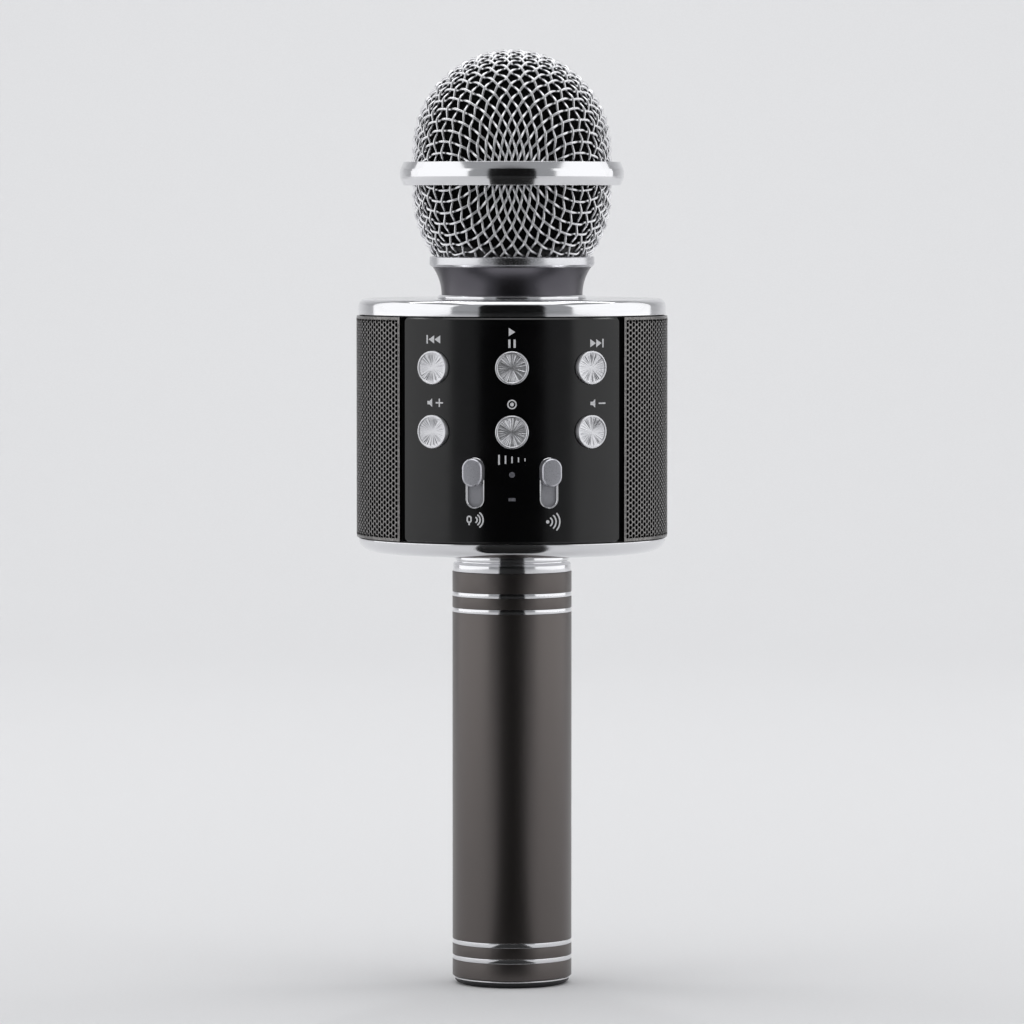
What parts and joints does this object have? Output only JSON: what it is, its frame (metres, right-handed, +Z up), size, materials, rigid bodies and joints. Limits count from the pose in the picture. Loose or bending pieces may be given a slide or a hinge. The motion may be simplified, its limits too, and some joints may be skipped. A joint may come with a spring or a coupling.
{
  "type": "karaoke microphone",
  "caption": "Handheld wireless karaoke microphone with a round woven-wire head, a speaker drum with buttons and slide controls, and a slim dark handle.",
  "frame": {"origin": "centre of the foot, on the plane the microphone stands on", "axes": "+Z up along the handle to the head, -Y out of the control panel, +Y out of the rear sockets"},
  "size_m": [0.0822, 0.0852, 0.2475],
  "materials": {
    "trim_chrome": "mirror-bright chrome plating",
    "satin_silver": "satin",
    "anodised_handle": "dark anodised, smooth satin",
    "black_plastic": "fine matt",
    "gloss_black": "high gloss",
    "grille_steel": "dark plated, perforated",
    "grille_cloth": "matt weave",
    "wire_mesh": "bright woven wire",
    "foam": "open-cell foam",
    "turned_aluminium": "concentric turned face",
    "slider_silver": "silver plated",
    "steel_parts": "plain",
    "circuit_board": "solder resist",
    "socket_plastic": "fine matt",
    "dark_window": "tinted, clear",
    "magnet_ferrite": "dull",
    "cone_paper": "pressed paper",
    "surround_rubber": "soft matt",
    "wire_insulation": "soft gloss",
    "cell_wrap": "shrink wrap"
  },
  "bodies": {
    "microphone_body": {"trim_rings": "trim_chrome", "handle_collar": "trim_chrome", "neck_trim_ring": "trim_chrome", "bottom_cap": "trim_chrome", "top_cap": "trim_chrome", "slider_bezels": "trim_chrome", "handle_tube": "anodised_handle", "neck_collar": "anodised_handle", "chassis": "black_plastic", "rear_panel": "black_plastic", "battery_sleeve": "black_plastic", "bulkhead": "black_plastic", "front_panel": "gloss_black", "left_grille": "grille_steel", "right_grille": "grille_steel", "grille_cloths": "grille_cloth", "case_screws": "steel_parts", "speaker_screws": "steel_parts", "collar_nut": "steel_parts", "neck_nut": "steel_parts", "battery_contact": "steel_parts", "tact_switches": "steel_parts", "slide_pots": "steel_parts", "usb_port": "steel_parts", "card_socket": "steel_parts", "left_speaker_frame": "steel_parts", "right_speaker_frame": "steel_parts", "capsule": "steel_parts", "main_board": "circuit_board", "key_boards": "circuit_board", "port_board": "circuit_board", "audio_jack": "socket_plastic", "indicator_lens": "dark_window", "status_window": "dark_window", "left_speaker_magnet": "magnet_ferrite", "right_speaker_magnet": "magnet_ferrite", "left_speaker_surround": "surround_rubber", "right_speaker_surround": "surround_rubber", "capsule_mount": "surround_rubber", "battery_leads": "wire_insulation", "capsule_leads": "wire_insulation", "battery_cell": "cell_wrap"},
    "head_thread_ring": {"base_ring": "satin_silver"},
    "head": {"upper_bowl": "wire_mesh", "lower_bowl": "wire_mesh", "grille_band": "trim_chrome", "foam_liner": "foam"},
    "end_thread_ring": {"end_cap_ring": "trim_chrome"},
    "end_cap": {"end_cap": "black_plastic", "battery_spring": "steel_parts"},
    "previous_button": {"previous_button": "turned_aluminium"},
    "play_button": {"play_button": "turned_aluminium"},
    "next_button": {"next_button": "turned_aluminium"},
    "volume_up_button": {"volume_up_button": "turned_aluminium"},
    "record_button": {"record_button": "turned_aluminium"},
    "volume_down_button": {"volume_down_button": "turned_aluminium"},
    "microphone_slider": {"microphone_slider": "slider_silver"},
    "echo_slider": {"echo_slider": "slider_silver"},
    "left_speaker_cone": {"left_speaker_cone": "cone_paper"},
    "right_speaker_cone": {"right_speaker_cone": "cone_paper"}
  },
  "joints": [
    {"name": "previous_button_press", "type": "slide", "parent": "microphone_body", "child": "previous_button", "axis": [0.497, 0.8678, 0], "range_m": [0, 0.0005], "stiffness_N_per_m": 1200},
    {"name": "play_button_press", "type": "slide", "parent": "microphone_body", "child": "play_button", "axis": [0, 1, 0], "range_m": [0, 0.0005], "stiffness_N_per_m": 1200},
    {"name": "next_button_press", "type": "slide", "parent": "microphone_body", "child": "next_button", "axis": [-0.497, 0.8678, 0], "range_m": [0, 0.0005], "stiffness_N_per_m": 1200},
    {"name": "volume_up_button_press", "type": "slide", "parent": "microphone_body", "child": "volume_up_button", "axis": [0.497, 0.8678, 0], "range_m": [0, 0.0005], "stiffness_N_per_m": 1200},
    {"name": "record_button_press", "type": "slide", "parent": "microphone_body", "child": "record_button", "axis": [0, 1, 0], "range_m": [0, 0.0005], "stiffness_N_per_m": 1200},
    {"name": "volume_down_button_press", "type": "slide", "parent": "microphone_body", "child": "volume_down_button", "axis": [-0.497, 0.8678, 0], "range_m": [0, 0.0005], "stiffness_N_per_m": 1200},
    {"name": "microphone_slider_travel", "type": "slide", "parent": "microphone_body", "child": "microphone_slider", "axis": [0, 0, 1], "range_m": [-0.0057, 0]},
    {"name": "echo_slider_travel", "type": "slide", "parent": "microphone_body", "child": "echo_slider", "axis": [0, 0, 1], "range_m": [-0.0057, 0]},
    {"name": "left_speaker_cone_stroke", "type": "slide", "parent": "microphone_body", "child": "left_speaker_cone", "axis": [-1, 0, 0], "range_m": [-0.0008, 0.0008], "stiffness_N_per_m": 900},
    {"name": "right_speaker_cone_stroke", "type": "slide", "parent": "microphone_body", "child": "right_speaker_cone", "axis": [1, 0, 0], "range_m": [-0.0008, 0.0008], "stiffness_N_per_m": 900},
    {"name": "head_rise", "type": "slide", "parent": "microphone_body", "child": "head_thread_ring", "axis": [0, 0, 1], "range_m": [0, 0.0045]},
    {"name": "head_turn", "type": "hinge", "parent": "head_thread_ring", "child": "head", "pos_m": [0, 0, 0.1914], "axis": [0, 0, 1], "range_deg": [0, 1080]},
    {"name": "end_cap_drop", "type": "slide", "parent": "microphone_body", "child": "end_thread_ring", "axis": [0, 0, -1], "range_m": [0, 0.006]},
    {"name": "end_cap_turn", "type": "hinge", "parent": "end_thread_ring", "child": "end_cap", "pos_m": [0, 0, 0.001], "axis": [0, 0, -1], "range_deg": [0, 1440]}
  ],
  "couplings": [
    {"joint": "head_rise", "follows": "head_turn", "m_per_rad": 0.00023873},
    {"joint": "end_cap_drop", "follows": "end_cap_turn", "m_per_rad": 0.00023873}
  ]
}
